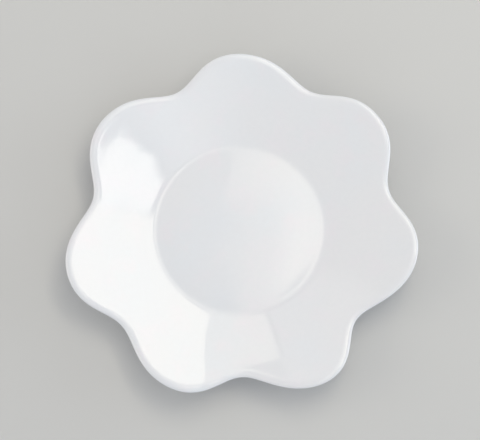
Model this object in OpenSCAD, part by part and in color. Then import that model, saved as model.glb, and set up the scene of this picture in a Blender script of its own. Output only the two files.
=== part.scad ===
// Scalloped dessert plate: a moulded porcelain dish with a scalloped edge, a foot ring luted
// underneath, and a clear glossy glaze. +Z is up, the origin is the middle of the standing
// face, and +Y runs through the middle of the first lobe. Lobes are counted anticlockwise.

/* [Outline] */
// Number of lobes round the edge
lobes = 7; // [5:1:9]
// Mean radius of the scalloped edge
edge_r = 93.8; // [84:0.2:106]
// Distance that a lobe's tip stands out from the mean edge
lobe_reach = 7.3; // [3:0.1:9]
// Amount that broadens the lobes and tightens the notches between them
lobe_broaden = 0.75; // [0:0.05:1.2]
// Unevenness in and out, left by forming the scallops by hand
hand_play = 2.5; // [0:0.1:3]
// Angle by which forming them by hand turned the scallops aside
hand_turn = 2; // [0:0.1:2.2]

/* [Well] */
// Radius of the line where the well turns up into the rim
well_r = 48.4; // [44:0.2:56]
// Width of the soft curve on that line
well_curve_w = 9; // [6:0.5:12]
// Radius of the level middle of the well
crown_r = 18; // [8:1:24]
// Height of the well's level middle above its outer part
crown_rise = 1; // [0.2:0.1:1.6]
// Thickness of the floor at the well's edge, glaze included
floor_t = 4.6; // [3.6:0.1:7]

/* [Rim] */
// Angle at which the rim leaves the well
rim_angle = 15.5; // [8:0.5:24]
// Further angle that the rim gains by its edge
rim_sweep = 3; // [0:0.5:6]
// Thickness of the rim by its lip, glaze included
rim_t = 4; // [3:0.1:6]
// Width of the face that rolls over into the lip
lip_roll_w = 4.5; // [2.6:0.1:5.4]
// Share of the rim's thickness by which the face drops as it rolls over
lip_drop_share = 0.58; // [0.4:0.01:0.65]
// Width of the underside that rolls up into the lip
lip_under_w = 2.2; // [1.4:0.1:3]

/* [Foot ring] */
// Outer radius of the foot ring
foot_r = 45.5; // [40:0.5:52]
// Height of the foot ring
foot_h = 3.2; // [2.6:0.1:5]
// Width of the foot ring where it is luted to the dish
foot_seat_w = 6; // [5:0.1:8]
// Slope of the foot ring's inner side, across its height
foot_draft_w = 1.2; // [0:0.1:2]
// Radius of the rounded corners of the standing face
foot_corner_r = 0.8; // [0.4:0.1:1]

/* [Glaze] */
// Thickness of the fired glaze
glaze_t = 0.35; // [0.2:0.05:0.5]
// Width of the glaze pooled between the foot ring and the dish
glaze_pool_w = 1; // [0.4:0.1:1.2]
// Height of the clay left bare above the rounded corners of the standing face
bare_h = 0.2; // [0.1:0.1:0.6]

/* [Hidden] */

// How far each lobe, and each notch after it, stands in or out of the even outline
lobe_play_shares = [-0.3, -0.4, 0.3, -0.3, 0, 0.1, 0];
notch_play_shares = [0.1, -0.2, 0.6, -0.3, -0.9, 0.3, 0.9];
// The same for how far each is turned aside
lobe_turn_shares = [0, 0, 1, 0.8, 1, 0.8, -0.4];
notch_turn_shares = [-0.8, 0, 0.2, -0.3, -0.7, 0.1, -1];

// Where the rings of points lie across each stretch of the section
crown_shares = [0, 0.34, 0.68];
curve_shares = [0, 0.25, 0.5, 0.75, 1];
rim_shares = [0.25, 0.5, 0.75, 1];
back_shares = [0.42, 0.82, 0.91, 1];
// The same for the rounded lip, as angles up from its edge and down from it
roll_turns = [62, 40, 20, 0];
under_turns = [-42, -90];
corner_turns = [0, 30, 60, 90];

steps_per_lobe = 16;
turns = [for (i = [0 : lobes * steps_per_lobe - 1]) 90 + 360 * i / (lobes * steps_per_lobe)];
probe_turn = 0.5;
curve_in_r = well_r - well_curve_w / 2;
curve_out_r = well_r + well_curve_w / 2;
crown_slope = 2 * crown_rise / (curve_in_r - crown_r);
rim_slope = tan(rim_angle);
edge_slope = tan(rim_angle + rim_sweep);
lip_drop = lip_drop_share * rim_t;
crown_z = foot_h - glaze_t + floor_t + crown_rise;
// The glaze collar has flat sides, which touch the round foot ring at their middles
collar_r = foot_r / cos(180 / len(turns));
bare_z = foot_corner_r + bare_h;
pool_r = min(glaze_pool_w, (foot_h - glaze_t - bare_z) / 2);
seat_r = foot_r + glaze_t + pool_r;
seat_t = face_z(seat_r) - foot_h + glaze_t;
$fn = 128;

function direction(turn) = [cos(turn), sin(turn)];
function between(from, to, share) = from + share * (to - from);

// Height gained by a slope that grows steadily from one radius to another and then stays
function ramp(r, from_r, to_r, slope) =
    r <= from_r ? 0
    : r < to_r ? slope * pow(r - from_r, 2) / (to_r - from_r) / 2
    : slope * (r - (from_r + to_r) / 2);

// Height of the glazed face at a distance from the middle
function face_z(r) =
    crown_z
    - ramp(r, crown_r, curve_in_r, crown_slope)
    + ramp(r, curve_in_r, curve_out_r, crown_slope + rim_slope)
    + ramp(r, curve_out_r, edge_r, edge_slope - rim_slope);

// Shares of the lobes and notches in turn, as one list round the edge
function share_at(i, lobe_shares, notch_shares) =
    let (k = floor(i / 2))
    i % 2 == 0 ? lobe_shares[k % len(lobe_shares)] : notch_shares[k % len(notch_shares)];

// Share at any angle, which swings smoothly from each lobe to its notch
function swung(turn, lobe_shares, notch_shares) =
    let (
        place = ((turn + 270) % 360) * lobes / 180,
        i = floor(place),
        from = share_at(i, lobe_shares, notch_shares),
        to = share_at((i + 1) % (2 * lobes), lobe_shares, notch_shares)
    )
    between(from, to, (1 - cos(180 * (place - i))) / 2);

function edge_point(turn) =
    let (
        aside = hand_turn * swung(turn, lobe_turn_shares, notch_turn_shares),
        lobe_turn = lobes * (turn - 90 - aside),
        out = hand_play * swung(turn, lobe_play_shares, notch_play_shares)
    )
    (edge_r + lobe_reach * cos(lobe_turn) - lobe_broaden * cos(2 * lobe_turn) + out)
    * direction(turn);

// Point a given distance in from the edge, square to it
function inset_point(turn, inset) =
    let (along = edge_point(turn + probe_turn) - edge_point(turn - probe_turn))
    edge_point(turn) - inset * [along.y, -along.x] / norm(along);

// Rings of points on the surface that lies a skin's depth under the glazed one
function level_ring(r, z) = [for (a = turns) [each r * direction(a), z]];
function well_ring(r, skin) = level_ring(r, face_z(r) - skin);
function rim_ring(share, skin) = [
    for (a = turns)
        let (p = between(curve_out_r * direction(a), inset_point(a, lip_roll_w), share))
        [each p, face_z(norm(p)) - skin]
];
function lip_ring(turn, roll_w, roll_h, skin) = [
    for (a = turns)
        let (p = inset_point(a, roll_w - (roll_w - skin) * cos(turn)))
        [each p, face_z(norm(p)) - lip_drop + (roll_h - skin) * sin(turn)]
];
function back_ring(share, skin) = [
    for (a = turns)
        let (p = between(inset_point(a, lip_under_w), seat_r * direction(a), share))
        [each p, face_z(norm(p)) - between(rim_t, seat_t, share) + skin]
];
function dish_rings(skin) = [
    for (s = crown_shares) well_ring(between(crown_r, curve_in_r, s), skin),
    for (s = curve_shares) well_ring(between(curve_in_r, curve_out_r, s), skin),
    for (s = rim_shares) rim_ring(s, skin),
    for (t = roll_turns) lip_ring(t, lip_roll_w, lip_drop, skin),
    for (t = under_turns) lip_ring(t, lip_under_w, rim_t - lip_drop, skin),
    for (s = back_shares) back_ring(s, skin)
];

// Closed solid through a stack of rings. From the ring called folded on, the four-sided
// gaps are split along their other diagonal, so a skin fits the surface that it lies on.
module ring_stack(rings, folded) {
    n = len(turns);
    sides = [
        for (i = [0 : len(rings) - 2], j = [0 : n - 1])
            let (a = i * n + j, d = i * n + (j + 1) % n, b = a + n, c = d + n)
            each i < folded ? [[a, d, c], [a, c, b]] : [[a, d, b], [d, c, b]]
    ];
    first_cap = [for (j = [n - 1 : -1 : 0]) j];
    last_cap = [for (j = [0 : n - 1]) (len(rings) - 1) * n + j];
    polyhedron([for (r = rings) each r], [first_cap, each sides, last_cap]);
}

// The moulded dish, up to the clay surface under the glaze
module plate_body() {
    rings = dish_rings(glaze_t);
    color("gainsboro") ring_stack(rings, len(rings));
}

// Radius of the foot ring's sloping inner side at a height above the table
function foot_inner_r(z) = foot_r - foot_seat_w + foot_draft_w * (foot_h - z) / foot_h;

// The ring of the same clay that the dish stands on
module foot_ring() {
    outer_r = foot_r - foot_corner_r;
    inner_r = foot_inner_r(foot_corner_r) + foot_corner_r;
    corner = foot_corner_r;
    color("wheat") rotate_extrude() polygon([
        [foot_inner_r(foot_h), foot_h],
        for (t = corner_turns) [inner_r - corner * cos(t), corner - corner * sin(t)],
        for (t = corner_turns) [outer_r + corner * sin(t), corner - corner * cos(t)],
        [foot_r, foot_h]
    ]);
}

// The glass skin over the face, round the lip and down to the foot ring's outer side
module glaze_coat() {
    outside = dish_rings(0);
    inside = dish_rings(glaze_t);
    pool_z = foot_h - glaze_t - pool_r;
    collar = [
        level_ring(seat_r - pool_r * sin(45), pool_z + pool_r * cos(45)),
        level_ring(seat_r - pool_r, pool_z),
        level_ring(collar_r + glaze_t, bare_z + glaze_t / 2),
        level_ring(collar_r, bare_z),
        level_ring(collar_r, foot_h)
    ];
    turned = [for (i = [len(inside) - 1 : -1 : 0]) inside[i]];
    color("white") ring_stack([each outside, each collar, each turned], len(outside) + len(collar));
}

// The separate glass skin inside the foot ring, which the bare standing face cuts off
module base_glaze() {
    ceiling_z = foot_h - glaze_t;
    color("white") rotate_extrude() polygon([
        [0, foot_h],
        [foot_inner_r(foot_h), foot_h],
        [foot_inner_r(bare_z), bare_z],
        [foot_inner_r(bare_z) - glaze_t, bare_z + glaze_t / 2],
        [foot_inner_r(ceiling_z) - glaze_t, ceiling_z - pool_r / 2],
        [foot_inner_r(ceiling_z) - glaze_t - pool_r / 2, ceiling_z],
        [0, ceiling_z]
    ]);
}

plate_body();
foot_ring();
glaze_coat();
base_glaze();
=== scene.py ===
# Scalloped dessert plate: smooth porcelain under a clear glossy glaze, on a plain pale table.
# Everything is in metres. The plate stands on the table at z = 0, its middle at the origin.
import functools
import math
from typing import NamedTuple

import bmesh
import bpy
from mathutils import Matrix, Vector, noise


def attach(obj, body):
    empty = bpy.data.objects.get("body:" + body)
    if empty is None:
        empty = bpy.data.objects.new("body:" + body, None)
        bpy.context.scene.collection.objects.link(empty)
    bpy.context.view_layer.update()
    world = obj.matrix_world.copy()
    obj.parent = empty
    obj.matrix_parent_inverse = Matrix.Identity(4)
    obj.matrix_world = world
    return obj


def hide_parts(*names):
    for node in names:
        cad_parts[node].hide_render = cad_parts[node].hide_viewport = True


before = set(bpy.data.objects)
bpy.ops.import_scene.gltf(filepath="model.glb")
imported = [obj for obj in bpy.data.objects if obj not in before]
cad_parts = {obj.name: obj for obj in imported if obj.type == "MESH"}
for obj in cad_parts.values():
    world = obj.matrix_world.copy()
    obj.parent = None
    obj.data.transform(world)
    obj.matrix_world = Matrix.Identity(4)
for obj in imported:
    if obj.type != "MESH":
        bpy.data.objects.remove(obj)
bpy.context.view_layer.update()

# Outline of the scalloped edge
LOBES = 7
EDGE_R = 0.0938
LOBE_REACH = 0.0073
LOBE_BROADEN = 0.00075
HAND_PLAY = 0.0025
HAND_TURN = math.radians(2)
LOBE_PLAY_SHARES = (-0.3, -0.4, 0.3, -0.3, 0, 0.1, 0)
NOTCH_PLAY_SHARES = (0.1, -0.2, 0.6, -0.3, -0.9, 0.3, 0.9)
LOBE_TURN_SHARES = (0, 0, 1, 0.8, 1, 0.8, -0.4)
NOTCH_TURN_SHARES = (-0.8, 0, 0.2, -0.3, -0.7, 0.1, -1)
FIRST_LOBE_TURN = math.radians(90)
# The edge's direction is found between two points this far round from it, either way
PROBE_TURN = math.radians(0.5)
# Digits to which angles are told apart, so that each point of the edge is worked out once
TURN_DIGITS = 7

# Well and rim
WELL_R = 0.0484
WELL_CURVE_W = 0.009
CROWN_R = 0.018
CROWN_RISE = 0.001
FLOOR_T = 0.0046
RIM_ANGLE = math.radians(15.5)
RIM_SWEEP = math.radians(3)
RIM_T = 0.004
LIP_DROP_SHARE = 0.58
LIP_ROLL_W = 0.0045
LIP_UNDER_W = 0.0022

# Foot ring and glaze
FOOT_R = 0.0455
FOOT_H = 0.0032
FOOT_SEAT_W = 0.006
FOOT_DRAFT_W = 0.0012
FOOT_CORNER_R = 0.0008
GLAZE_T = 0.00035
GLAZE_POOL_W = 0.001
BARE_H = 0.0002

# Unevenness of the fired glaze, and of the line where it was wiped off the foot
GLAZE_PLAY_W = 0.021
GLAZE_PLAY_H = 0.00006
LINE_PLAY_W = 0.007
LINE_PLAY_H = 0.00015

CURVE_IN_R = WELL_R - WELL_CURVE_W / 2
CURVE_OUT_R = WELL_R + WELL_CURVE_W / 2
CROWN_SLOPE = 2 * CROWN_RISE / (CURVE_IN_R - CROWN_R)
RIM_SLOPE = math.tan(RIM_ANGLE)
EDGE_SLOPE = math.tan(RIM_ANGLE + RIM_SWEEP)
LIP_DROP = LIP_DROP_SHARE * RIM_T
CROWN_Z = FOOT_H - GLAZE_T + FLOOR_T + CROWN_RISE
BARE_Z = FOOT_CORNER_R + BARE_H
CEILING_Z = FOOT_H - GLAZE_T
POOL_R = min(GLAZE_POOL_W, (CEILING_Z - BARE_Z) / 2)
SEAT_R = FOOT_R + GLAZE_T + POOL_R

# Fineness of the meshes, and how close two points lie to count as one
STEPS_PER_LOBE = 88
CORNER_STEPS = 6
MERGE_W = 0.000002
# Steps across the well, the curve at its edge, the rim, either half of the lip and the
# underside, for the surface that is seen and for those that lie within
SEEN_STEPS = (11, 16, 36, 12, 9)
INNER_STEPS = (4, 6, 6, 6, 4)
# Faces that meet at more than this angle keep a sharp edge between them
SHARP_ANGLE = math.radians(50)


def between(start, end, share):
    return start + (end - start) * share


def steps(start, end, count):
    """Evenly spaced values from start to end, both included."""
    return [between(start, end, i / count) for i in range(count + 1)]


# ---- The form of the dish -------------------------------------------------------------------


def ramp(r, from_r, to_r, slope):
    """Height gained by a slope that grows steadily between two radii and then stays."""
    if r <= from_r:
        return 0
    if r < to_r:
        return slope * (r - from_r) ** 2 / (to_r - from_r) / 2
    return slope * (r - (from_r + to_r) / 2)


def upturn(r, from_r, to_r, slope):
    """Height gained by a slope that swings up smoothly, most of it midway between two radii."""
    share = min(max((r - from_r) / (to_r - from_r), 0), 1)
    # What a smooth step from 0 to 1 has added up to by this share of its length
    gained = share**4 * (share**2 - 3 * share + 2.5)
    return slope * ((to_r - from_r) * gained + max(r - to_r, 0))


def face_z(r):
    """Height of the glazed face at a distance from the middle."""
    return (
        CROWN_Z
        - ramp(r, CROWN_R, CURVE_IN_R, CROWN_SLOPE)
        + upturn(r, CURVE_IN_R, CURVE_OUT_R, CROWN_SLOPE + RIM_SLOPE)
        + ramp(r, CURVE_OUT_R, EDGE_R, EDGE_SLOPE - RIM_SLOPE)
    )


SEAT_T = face_z(SEAT_R) - CEILING_Z


def swung(turn, lobe_shares, notch_shares):
    """Share at any angle, which swings smoothly from each lobe to its notch."""
    place = (turn - FIRST_LOBE_TURN) % math.tau * LOBES / math.pi
    i = math.floor(place)
    swing = (1 - math.cos(math.pi * (place - i))) / 2
    shares = [share for pair in zip(lobe_shares, notch_shares) for share in pair]
    return between(shares[i % len(shares)], shares[(i + 1) % len(shares)], swing)


def level_point(r, turn):
    return Vector((r * math.cos(turn), r * math.sin(turn)))


def edge_point(turn):
    aside = HAND_TURN * swung(turn, LOBE_TURN_SHARES, NOTCH_TURN_SHARES)
    lobe_turn = LOBES * (turn - FIRST_LOBE_TURN - aside)
    scallop = LOBE_REACH * math.cos(lobe_turn) - LOBE_BROADEN * math.cos(2 * lobe_turn)
    out = HAND_PLAY * swung(turn, LOBE_PLAY_SHARES, NOTCH_PLAY_SHARES)
    return level_point(EDGE_R + scallop + out, turn)


@functools.cache
def edge_and_outward(turn):
    """Point on the scalloped edge, and the direction square out from it."""
    along = (edge_point(turn + PROBE_TURN) - edge_point(turn - PROBE_TURN)).normalized()
    return edge_point(turn), Vector((along.y, -along.x))


def inset_point(turn, inset):
    """Point a given distance in from the scalloped edge, square to it."""
    edge, outward = edge_and_outward(round(turn, TURN_DIGITS))
    return edge - inset * outward


def scallop(bm):
    """Carries the rim, lip and underside of a round dish out to the scalloped edge."""
    for vert in bm.verts:
        r = math.hypot(vert.co.x, vert.co.y)
        turn = math.atan2(vert.co.y, vert.co.x)
        under = vert.co.z < face_z(r) - LIP_DROP
        inner_r, lip_w = (SEAT_R, LIP_UNDER_W) if under else (CURVE_OUT_R, LIP_ROLL_W)
        if r <= inner_r:
            continue
        share = (r - inner_r) / (EDGE_R - lip_w - inner_r)
        if share < 1:
            p = between(level_point(inner_r, turn), inset_point(turn, lip_w), share)
        else:
            p = inset_point(turn, EDGE_R - r)
        vert.co = (p.x, p.y, vert.co.z + face_z(p.length) - face_z(r))


def settle(bm):
    """Leaves the glazed face slightly uneven, where the glaze lay thicker or thinner."""
    for vert in bm.verts:
        depth = face_z(math.hypot(vert.co.x, vert.co.y)) - vert.co.z
        share = min(max(1 - depth / (GLAZE_T / 2), 0), 1)
        vert.co.z += GLAZE_PLAY_H * share * noise.noise(vert.co / GLAZE_PLAY_W)


def wander(bm):
    """Lets the glaze's edge on the foot ring wander up and down a little."""
    for vert in bm.verts:
        share = min(max(1 - (vert.co.z - BARE_Z) / (CEILING_Z - POOL_R - BARE_Z), 0), 1)
        place = Vector((vert.co.x, vert.co.y, 0)) / LINE_PLAY_W
        vert.co.z += LINE_PLAY_H * share * noise.noise(place)


# ---- Sections, each a list of (radius, height) -----------------------------------------------


def arc(centre_r, centre_z, radius, start, end):
    """Points on a circle in the section, from one angle to another in degrees."""
    return [
        (
            centre_r + radius * math.cos(math.radians(a)),
            centre_z + radius * math.sin(math.radians(a)),
        )
        for a in steps(start, end, CORNER_STEPS)
    ]


def dish_section(skin, fineness):
    """Face, lip and underside of the dish, a skin's depth under its glazed surface."""
    well_steps, curve_steps, rim_steps, lip_steps, back_steps = fineness
    lip_in_r = EDGE_R - LIP_ROLL_W
    back_r = EDGE_R - LIP_UNDER_W
    radii = [
        *steps(0, CURVE_IN_R, well_steps),
        *steps(CURVE_IN_R, CURVE_OUT_R, curve_steps)[1:],
        *steps(CURVE_OUT_R, lip_in_r, rim_steps)[1:],
    ]
    section = [(r, face_z(r) - skin) for r in radii]
    for end, roll_w, roll_h in ((90, LIP_ROLL_W, LIP_DROP), (-90, LIP_UNDER_W, RIM_T - LIP_DROP)):
        turns = steps(math.radians(end), 0, lip_steps)
        for angle in turns[1:] if end > 0 else turns[-2::-1]:
            r = EDGE_R - roll_w + (roll_w - skin) * math.cos(angle)
            z = face_z(r) - LIP_DROP + (roll_h - skin) * math.sin(angle)
            section.append((r, z))
    for share in steps(0, 1, back_steps)[1:]:
        r = between(back_r, SEAT_R, share)
        section.append((r, face_z(r) - between(RIM_T, SEAT_T, share) + skin))
    return section


def body_section():
    return [*dish_section(GLAZE_T, INNER_STEPS), (0, FOOT_H)]


def glaze_section():
    """Section of the skin, which ends in a collar on the foot ring's outer side."""
    line_z = BARE_Z + GLAZE_T / 2
    pool = arc(SEAT_R, CEILING_Z - POOL_R, POOL_R, 90, 180)[1:]
    drip = arc(FOOT_R + GLAZE_T / 2, line_z, GLAZE_T / 2, 0, -180)
    seat = [(FOOT_R, FOOT_H)]
    inside = reversed(dish_section(GLAZE_T, INNER_STEPS))
    return [*dish_section(0, SEEN_STEPS), *pool, *drip, *seat, *inside]


def foot_inner_r(z):
    """Radius of the foot ring's sloping inner side."""
    return FOOT_R - FOOT_SEAT_W + FOOT_DRAFT_W * (FOOT_H - z) / FOOT_H


def foot_section():
    corner = FOOT_CORNER_R
    inner = foot_inner_r(corner) + corner
    return [
        (foot_inner_r(FOOT_H), FOOT_H),
        *arc(inner, corner, corner, 180, 270),
        *arc(FOOT_R - corner, corner, corner, 270, 360),
        (FOOT_R, FOOT_H),
    ]


def base_section():
    """Section of the skin that lines the recess inside the foot ring."""
    line_z = BARE_Z + GLAZE_T / 2
    line_r = foot_inner_r(line_z)
    pool = POOL_R / 2
    pool_r = foot_inner_r(CEILING_Z) - GLAZE_T - pool
    return [
        (0, FOOT_H),
        (foot_inner_r(FOOT_H), FOOT_H),
        *arc(line_r - GLAZE_T / 2, line_z, GLAZE_T / 2, 0, -180),
        *arc(pool_r, CEILING_Z - pool, pool, 0, 90),
        (0, CEILING_Z),
    ]


# ---- Turning the sections into pieces --------------------------------------------------------


def spun(section, closed):
    """A bmesh of the section, spun through one lobe's angle and repeated for each lobe."""
    bm = bmesh.new()
    verts = [bm.verts.new((r, 0, z)) for r, z in section]
    edges = [bm.edges.new(pair) for pair in zip(verts, verts[1:])]
    if closed:
        edges.append(bm.edges.new((verts[-1], verts[0])))
    middle = {"cent": (0, 0, 0)}
    lobe_angle = math.tau / LOBES
    bmesh.ops.spin(
        bm,
        geom=verts + edges,
        axis=(0, 0, 1),
        angle=lobe_angle,
        steps=STEPS_PER_LOBE,
        **middle,
    )
    sector = [*bm.verts, *bm.edges, *bm.faces]
    for lobe in range(1, LOBES):
        copied = bmesh.ops.duplicate(bm, geom=sector)["geom"]
        moved = [item for item in copied if isinstance(item, bmesh.types.BMVert)]
        turned = Matrix.Rotation(lobe * lobe_angle, 3, "Z")
        bmesh.ops.rotate(bm, verts=moved, matrix=turned, **middle)
    bmesh.ops.remove_doubles(bm, verts=bm.verts, dist=MERGE_W)
    return bm


def piece(name, bm, node, finish):
    """Makes the finished piece, which stands for a node of the construction model."""
    bmesh.ops.recalc_face_normals(bm, faces=bm.faces)
    for face in bm.faces:
        face.smooth = True
    mesh = bpy.data.meshes.new(name)
    bm.to_mesh(mesh)
    bm.free()
    mesh.set_sharp_from_angle(angle=SHARP_ANGLE)
    mesh.materials.append(finish)
    made = bpy.data.objects.new(name, mesh)
    bpy.context.collection.objects.link(made)
    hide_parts(node)
    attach(made, "root")


# ---- Finishes ---------------------------------------------------------------------------------


# Spans of a cloudy pattern's values, each of which is spread over the range that it varies
BROAD_SPAN = (0.3, 0.7)
TINT_SPAN = (0.35, 0.65)
ROSE_SPAN = (0.5, 0.75)
SPECK_SPAN = (0.68, 0.74)
FULL = (0, 1)

# Glaze: its tints, the widths of the patches that they lie in, its gloss and its surface
GLAZE_IOR = 1.6
COOL_GLAZE = (0.856, 0.879, 0.921)
PLAIN_GLAZE = (0.876, 0.882, 0.912)
ROSY_GLAZE = (0.887, 0.871, 0.915)
MOTTLED_GLAZE = (0.841, 0.851, 0.887)
TINT_W = 0.045
ROSE_W = 0.016
MOTTLE_W = 0.0025
MOTTLE_SHARE = 0.35
GLOSS_W = 0.012
GLAZE_ROUGHNESS = (0.015, 0.045)
RIPPLE_W = 0.009
RIPPLE_H = 0.000012
DIMPLE_W = 0.0025
DIMPLE_H = 0.0000015

# Clay: what the glaze covers, and the bare foot with its specks, flash and wear
CLAY_IOR = 1.45
WARM_CLAY = (0.86, 0.85, 0.83)
COOL_CLAY = (0.89, 0.88, 0.86)
CLOUD_W = 0.012
GRAIN_W = 0.0006
GRAIN_H = 0.00004
GRAIN_ROUGHNESS = 0.6
CLAY_ROUGHNESS = (0.7, 0.95)
WARM_FOOT = (0.83, 0.79, 0.73)
COOL_FOOT = (0.88, 0.85, 0.8)
SPECK_COLOUR = (0.5, 0.42, 0.34)
SPECK_W = 0.0012
SPECK_SHARE = 0.5
FLASH_COLOUR = (0.8, 0.66, 0.5)
FLASH_SHARE = 0.4
WORN_COLOUR = (0.7, 0.69, 0.67)
WEAR_SHARE = 0.45


class Finish:
    """A material on the plate's own coordinates, with a few nodes to vary it."""

    def __init__(self, name, **sockets):
        self.material = bpy.data.materials.new(name)
        self.material.use_nodes = True
        self.tree = self.material.node_tree
        self.shader = self.tree.nodes["Principled BSDF"]
        self.place = self.tree.nodes.new("ShaderNodeTexCoord").outputs["Object"]
        for socket, value in sockets.items():
            self.shader.inputs[socket.replace("_", " ")].default_value = value

    def noise(self, size, detail=2, roughness=0.5):
        """Cloudy pattern whose patches are about a given size."""
        node = self.tree.nodes.new("ShaderNodeTexNoise")
        node.inputs["Scale"].default_value = 1 / size
        node.inputs["Detail"].default_value = detail
        node.inputs["Roughness"].default_value = roughness
        self.tree.links.new(self.place, node.inputs["Vector"])
        return node.outputs["Fac"]

    def remap(self, value, span, result):
        """Spreads a span of a value over another, and keeps it within that."""
        node = self.tree.nodes.new("ShaderNodeMapRange")
        self.tree.links.new(value, node.inputs["Value"])
        for socket, number in zip(node.inputs[1:5], (*span, *result)):
            socket.default_value = number
        return node.outputs["Result"]

    def blend(self, value, low, high):
        """Colour that goes from one to another with a value; either may be a socket."""
        node = self.tree.nodes.new("ShaderNodeMix")
        node.data_type = "RGBA"
        sockets = {s.identifier: s for s in (*node.inputs, *node.outputs)}
        self.tree.links.new(value, sockets["Factor_Float"])
        for socket, colour in ((sockets["A_Color"], low), (sockets["B_Color"], high)):
            if isinstance(colour, tuple):
                socket.default_value = (*colour, 1)
            else:
                self.tree.links.new(colour, socket)
        return sockets["Result_Color"]

    def set(self, socket, value):
        self.tree.links.new(value, self.shader.inputs[socket])

    def bump(self, *layers):
        """Stacks bumps, each a value with the height that it stands for."""
        normal = None
        for value, height in layers:
            node = self.tree.nodes.new("ShaderNodeBump")
            node.inputs["Distance"].default_value = height
            self.tree.links.new(value, node.inputs["Height"])
            if normal:
                self.tree.links.new(normal, node.inputs["Normal"])
            normal = node.outputs["Normal"]
        self.set("Normal", normal)


def glaze_finish():
    """Clear glaze over white clay, with faint cool, rosy and fine mottled tints."""
    glaze = Finish("clear_glaze_on_white", IOR=GLAZE_IOR)
    tint = glaze.remap(glaze.noise(TINT_W), TINT_SPAN, FULL)
    rose = glaze.remap(glaze.noise(ROSE_W, detail=3), ROSE_SPAN, FULL)
    mottle = glaze.remap(glaze.noise(MOTTLE_W, detail=4), BROAD_SPAN, (0, MOTTLE_SHARE))
    cool_or_plain = glaze.blend(tint, COOL_GLAZE, PLAIN_GLAZE)
    rosy = glaze.blend(rose, cool_or_plain, ROSY_GLAZE)
    glaze.set("Base Color", glaze.blend(mottle, rosy, MOTTLED_GLAZE))
    gloss = glaze.noise(GLOSS_W, detail=3)
    glaze.set("Roughness", glaze.remap(gloss, BROAD_SPAN, GLAZE_ROUGHNESS))
    glaze.bump((glaze.noise(RIPPLE_W), RIPPLE_H), (glaze.noise(DIMPLE_W), DIMPLE_H))
    return glaze.material


def biscuit_finish(name, warm, cool):
    """Matt fired clay, finely grained and slightly clouded."""
    biscuit = Finish(name, IOR=CLAY_IOR)
    grain = biscuit.noise(GRAIN_W, detail=5, roughness=GRAIN_ROUGHNESS)
    cloud = biscuit.remap(biscuit.noise(CLOUD_W, detail=3), BROAD_SPAN, FULL)
    biscuit.set("Base Color", biscuit.blend(cloud, warm, cool))
    biscuit.set("Roughness", biscuit.remap(grain, BROAD_SPAN, CLAY_ROUGHNESS))
    biscuit.bump((grain, GRAIN_H))
    return biscuit


def foot_finish():
    """Bare clay, greyer where it has stood, specked, and warm just under the glaze."""
    foot = biscuit_finish("bare_foot_clay", WARM_FOOT, COOL_FOOT)
    clouded = foot.shader.inputs["Base Color"].links[0].from_socket
    speck = foot.remap(foot.noise(SPECK_W), SPECK_SPAN, (0, SPECK_SHARE))
    specked = foot.blend(speck, clouded, SPECK_COLOUR)
    split = foot.tree.nodes.new("ShaderNodeSeparateXYZ")
    foot.tree.links.new(foot.place, split.inputs["Vector"])
    height = split.outputs["Z"]
    flash = foot.remap(height, (FOOT_CORNER_R / 2, BARE_Z), (0, FLASH_SHARE))
    flashed = foot.blend(flash, specked, FLASH_COLOUR)
    wear = foot.remap(height, (0, FOOT_CORNER_R / 4), (WEAR_SHARE, 0))
    foot.set("Base Color", foot.blend(wear, flashed, WORN_COLOUR))
    return foot.material


# ---- Studio -----------------------------------------------------------------------------------


# The even light from all round, and the table with the distances over which it turns into it
FILL_COLOUR = (0.936, 0.957, 1, 1)
FILL_STRENGTH = 0.566
TABLE_COLOUR = (0.65, 0.65, 0.645, 1)
TABLE_ROUGHNESS = 0.7
TABLE_REACH = 6
TABLE_FADE = (0.3, 2.5)

# Tints of the lamps
WARM = (1, 0.93, 0.77)
MILD = (1, 0.97, 0.88)
PLAIN = (1, 0.99, 0.97)
COOL = (0.86, 0.95, 1)

# The panels overhead hang level, and some are turned as the window is. Its arched end hangs a
# little lower than the rest, because panels at one height hide each other where they overlap.
OVERHEAD_Z = 1
ARCH_Z = 0.99
WINDOW_TURN = (0, 0, 14)

# The photograph's view: the camera's direction from the plate, its aim, distance and lens
VIEW_AZIMUTH = math.radians(-1.4)
VIEW_ELEVATION = math.radians(79.7)
VIEW_AIM = Vector((-0.0003, 0.0056, 0.008))
VIEW_DISTANCE = 1.3
SENSOR_MM = 36
LENS_MM = 171.6


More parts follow.
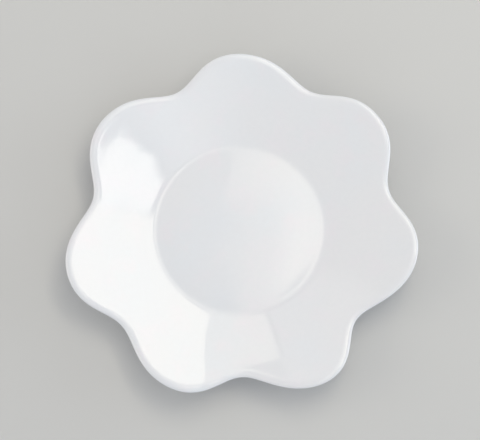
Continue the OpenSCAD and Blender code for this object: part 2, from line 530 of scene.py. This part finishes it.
def table():
    """Pale table top, which turns into the studio's even fill far from the plate."""
    bm = bmesh.new()
    bmesh.ops.create_grid(bm, x_segments=1, y_segments=1, size=TABLE_REACH)
    mesh = bpy.data.meshes.new("table")
    bm.to_mesh(mesh)
    bm.free()
    made = bpy.data.objects.new("table", mesh)
    bpy.context.collection.objects.link(made)
    top = Finish("table_top", Base_Color=TABLE_COLOUR, Roughness=TABLE_ROUGHNESS)
    mesh.materials.append(top.material)
    new, link = top.tree.nodes.new, top.tree.links.new
    rays = new("ShaderNodeLightPath").outputs
    seen = new("ShaderNodeMath")
    seen.operation = "MAXIMUM"
    link(rays["Is Camera Ray"], seen.inputs[0])
    link(rays["Is Glossy Ray"], seen.inputs[1])
    far = new("ShaderNodeVectorMath")
    far.operation = "LENGTH"
    link(top.place, far.inputs[0])
    share = new("ShaderNodeMath")
    share.operation = "MULTIPLY"
    link(top.remap(far.outputs["Value"], TABLE_FADE, FULL), share.inputs[0])
    link(seen.outputs["Value"], share.inputs[1])
    backdrop = new("ShaderNodeEmission")
    backdrop.inputs["Color"].default_value = FILL_COLOUR
    backdrop.inputs["Strength"].default_value = FILL_STRENGTH
    mixed = new("ShaderNodeMixShader")
    link(share.outputs["Value"], mixed.inputs[0])
    link(top.shader.outputs["BSDF"], mixed.inputs[1])
    link(backdrop.outputs["Emission"], mixed.inputs[2])
    link(mixed.outputs["Shader"], top.tree.nodes["Material Output"].inputs["Surface"])


class Fade(NamedTuple):
    """How light grows along a level direction, in degrees, from a least share to the whole."""

    towards: float
    start: float
    end: float
    least: float = 0


def softbox(name, place, size, radiance, colour, turn=(0, 0, 0), fades=()):
    """A panel of light, which shines straight down unless it is turned."""
    lamp = bpy.data.lights.new(name, "AREA")
    lamp.shape = "RECTANGLE"
    lamp.size, lamp.size_y = size
    lamp.color = colour
    lamp.energy = radiance * math.pi * lamp.size * lamp.size_y
    made = bpy.data.objects.new(name, lamp)
    made.location = place
    made.rotation_euler = [math.radians(a) for a in turn]
    made.visible_camera = False
    bpy.context.collection.objects.link(made)
    if fades:
        soften(lamp, fades)


def soften(lamp, fades):
    """Gives a panel the product of its fades as its strength."""
    lamp.use_nodes = True
    tree = lamp.node_tree
    place = tree.nodes.new("ShaderNodeNewGeometry").outputs["Position"]
    strength = None
    for fade in fades:
        along = tree.nodes.new("ShaderNodeVectorMath")
        along.operation = "DOT_PRODUCT"
        along.inputs[1].default_value = (*level_point(1, math.radians(fade.towards)), 0)
        grow = tree.nodes.new("ShaderNodeMapRange")
        tree.links.new(place, along.inputs[0])
        tree.links.new(along.outputs["Value"], grow.inputs["Value"])
        for socket, number in zip(grow.inputs[1:5], (fade.start, fade.end, fade.least, 1)):
            socket.default_value = number
        both = tree.nodes.new("ShaderNodeMath")
        both.operation = "MULTIPLY"
        both.inputs[1].default_value = 1
        tree.links.new(grow.outputs["Result"], both.inputs[0])
        if strength:
            tree.links.new(strength, both.inputs[1])
        strength = both.outputs["Value"]
    tree.links.new(strength, tree.nodes["Emission"].inputs["Strength"])


def window_lamps():
    """The window and its arched end, whose reflection fills the left of the rim."""
    softbox(
        "window",
        place=(0.412, 0.396, OVERHEAD_Z),
        size=(0.3, 0.99),
        radiance=3.37,
        colour=WARM,
        turn=WINDOW_TURN,
        fades=[Fade(90, 0.09, 0.13)],
    )
    softbox(
        "window_arch",
        place=(0.48, -0.025, ARCH_Z),
        size=(0.28, 0.31),
        radiance=3.55,
        colour=MILD,
        fades=[
            Fade(-90, -0.13, -0.09),
            Fade(-25.6, 0.382, 0.398),
            Fade(50.5, 0.055, 0.075),
            Fade(122, -0.316, -0.309),
            Fade(141, -0.387, -0.38),
        ],
    )


def glow_lamps():
    """Dimmer panels, which lie over the right of the well and over the rim above and below."""
    softbox(
        "near_glow",
        place=(0.111, 0.08, OVERHEAD_Z),
        size=(0.258, 0.26),
        radiance=2,
        colour=WARM,
        fades=[Fade(0, -0.018, 0.02), Fade(0, 0.04, 0.15, 0.37), Fade(135, -0.115, -0.08)],
    )
    softbox(
        "middle_glow",
        place=(0.111, 0.325, OVERHEAD_Z),
        size=(0.258, 0.23),
        radiance=1.85,
        colour=WARM,
        fades=[Fade(0, -0.018, 0.18, 0.35)],
    )
    softbox(
        "end_glow",
        place=(0.034, 0.633, OVERHEAD_Z),
        size=(0.32, 0.3375),
        radiance=1.45,
        colour=WARM,
        turn=WINDOW_TURN,
        fades=[Fade(14, 0.04, 0.064)],
    )
    softbox(
        "low_glow",
        place=(0.16, -0.34, OVERHEAD_Z),
        size=(0.42, 0.42),
        radiance=0.8,
        colour=PLAIN,
        fades=[Fade(0, -0.05, 0.3), Fade(180, -0.37, -0.25)],
    )
    softbox(
        "far_glow",
        place=(-0.291, 0.552, OVERHEAD_Z),
        size=(0.4, 0.5),
        radiance=0.45,
        colour=PLAIN,
        turn=WINDOW_TURN,
        fades=[Fade(90, 0.37, 0.5)],
    )


def side_lamps():
    """Panels that stand round the table, for the bright line along the lip and soft shade."""
    softbox(
        "side_light",
        place=(1.3, 0.2, 0.33),
        size=(0.6, 1.1),
        radiance=2.3,
        colour=COOL,
        turn=(0, 76, 0),
    )
    softbox(
        "side_fill",
        place=(-1.3, 0.1, 0.75),
        size=(0.8, 1),
        radiance=1.35,
        colour=WARM,
        turn=(0, -60, 0),
    )
    softbox(
        "front_fill",
        place=(0, -1.3, 0.45),
        size=(1.2, 0.6),
        radiance=0.7,
        colour=COOL,
        turn=(71, 0, 0),
    )


def studio_fill():
    """Even light from all round, at a level at which colours come out as written."""
    world = bpy.data.worlds.new("studio_fill")
    world.use_nodes = True
    fill = world.node_tree.nodes["Background"].inputs
    fill["Color"].default_value = FILL_COLOUR
    fill["Strength"].default_value = FILL_STRENGTH
    bpy.context.scene.world = world
    bpy.context.scene.view_settings.view_transform = "Standard"


def photo_camera():
    """Looks down at the plate as the photograph does."""
    level = level_point(math.cos(VIEW_ELEVATION), VIEW_AZIMUTH - math.radians(90))
    back = Vector((*level, math.sin(VIEW_ELEVATION)))
    data = bpy.data.cameras.new("photo_camera")
    data.sensor_width = SENSOR_MM
    data.lens = LENS_MM
    camera = bpy.data.objects.new("photo_camera", data)
    camera.location = VIEW_AIM + VIEW_DISTANCE * back
    camera.rotation_mode = "QUATERNION"
    camera.rotation_quaternion = (-back).to_track_quat("-Z", "Y")
    bpy.context.collection.objects.link(camera)
    bpy.context.scene.camera = camera


clay = biscuit_finish("fired_clay", WARM_CLAY, COOL_CLAY).material
bare_clay = foot_finish()
glaze = glaze_finish()

dish = spun(body_section(), closed=False)
scallop(dish)
piece("dish", dish, "plate_body", clay)

coat = spun(glaze_section(), closed=False)
scallop(coat)
settle(coat)
wander(coat)
piece("face_glaze", coat, "glaze_coat", glaze)

piece("foot", spun(foot_section(), closed=True), "foot_ring", bare_clay)

recess = spun(base_section(), closed=False)
wander(recess)
piece("recess_glaze", recess, "base_glaze", glaze)

table()
window_lamps()
glow_lamps()
side_lamps()
studio_fill()
photo_camera()
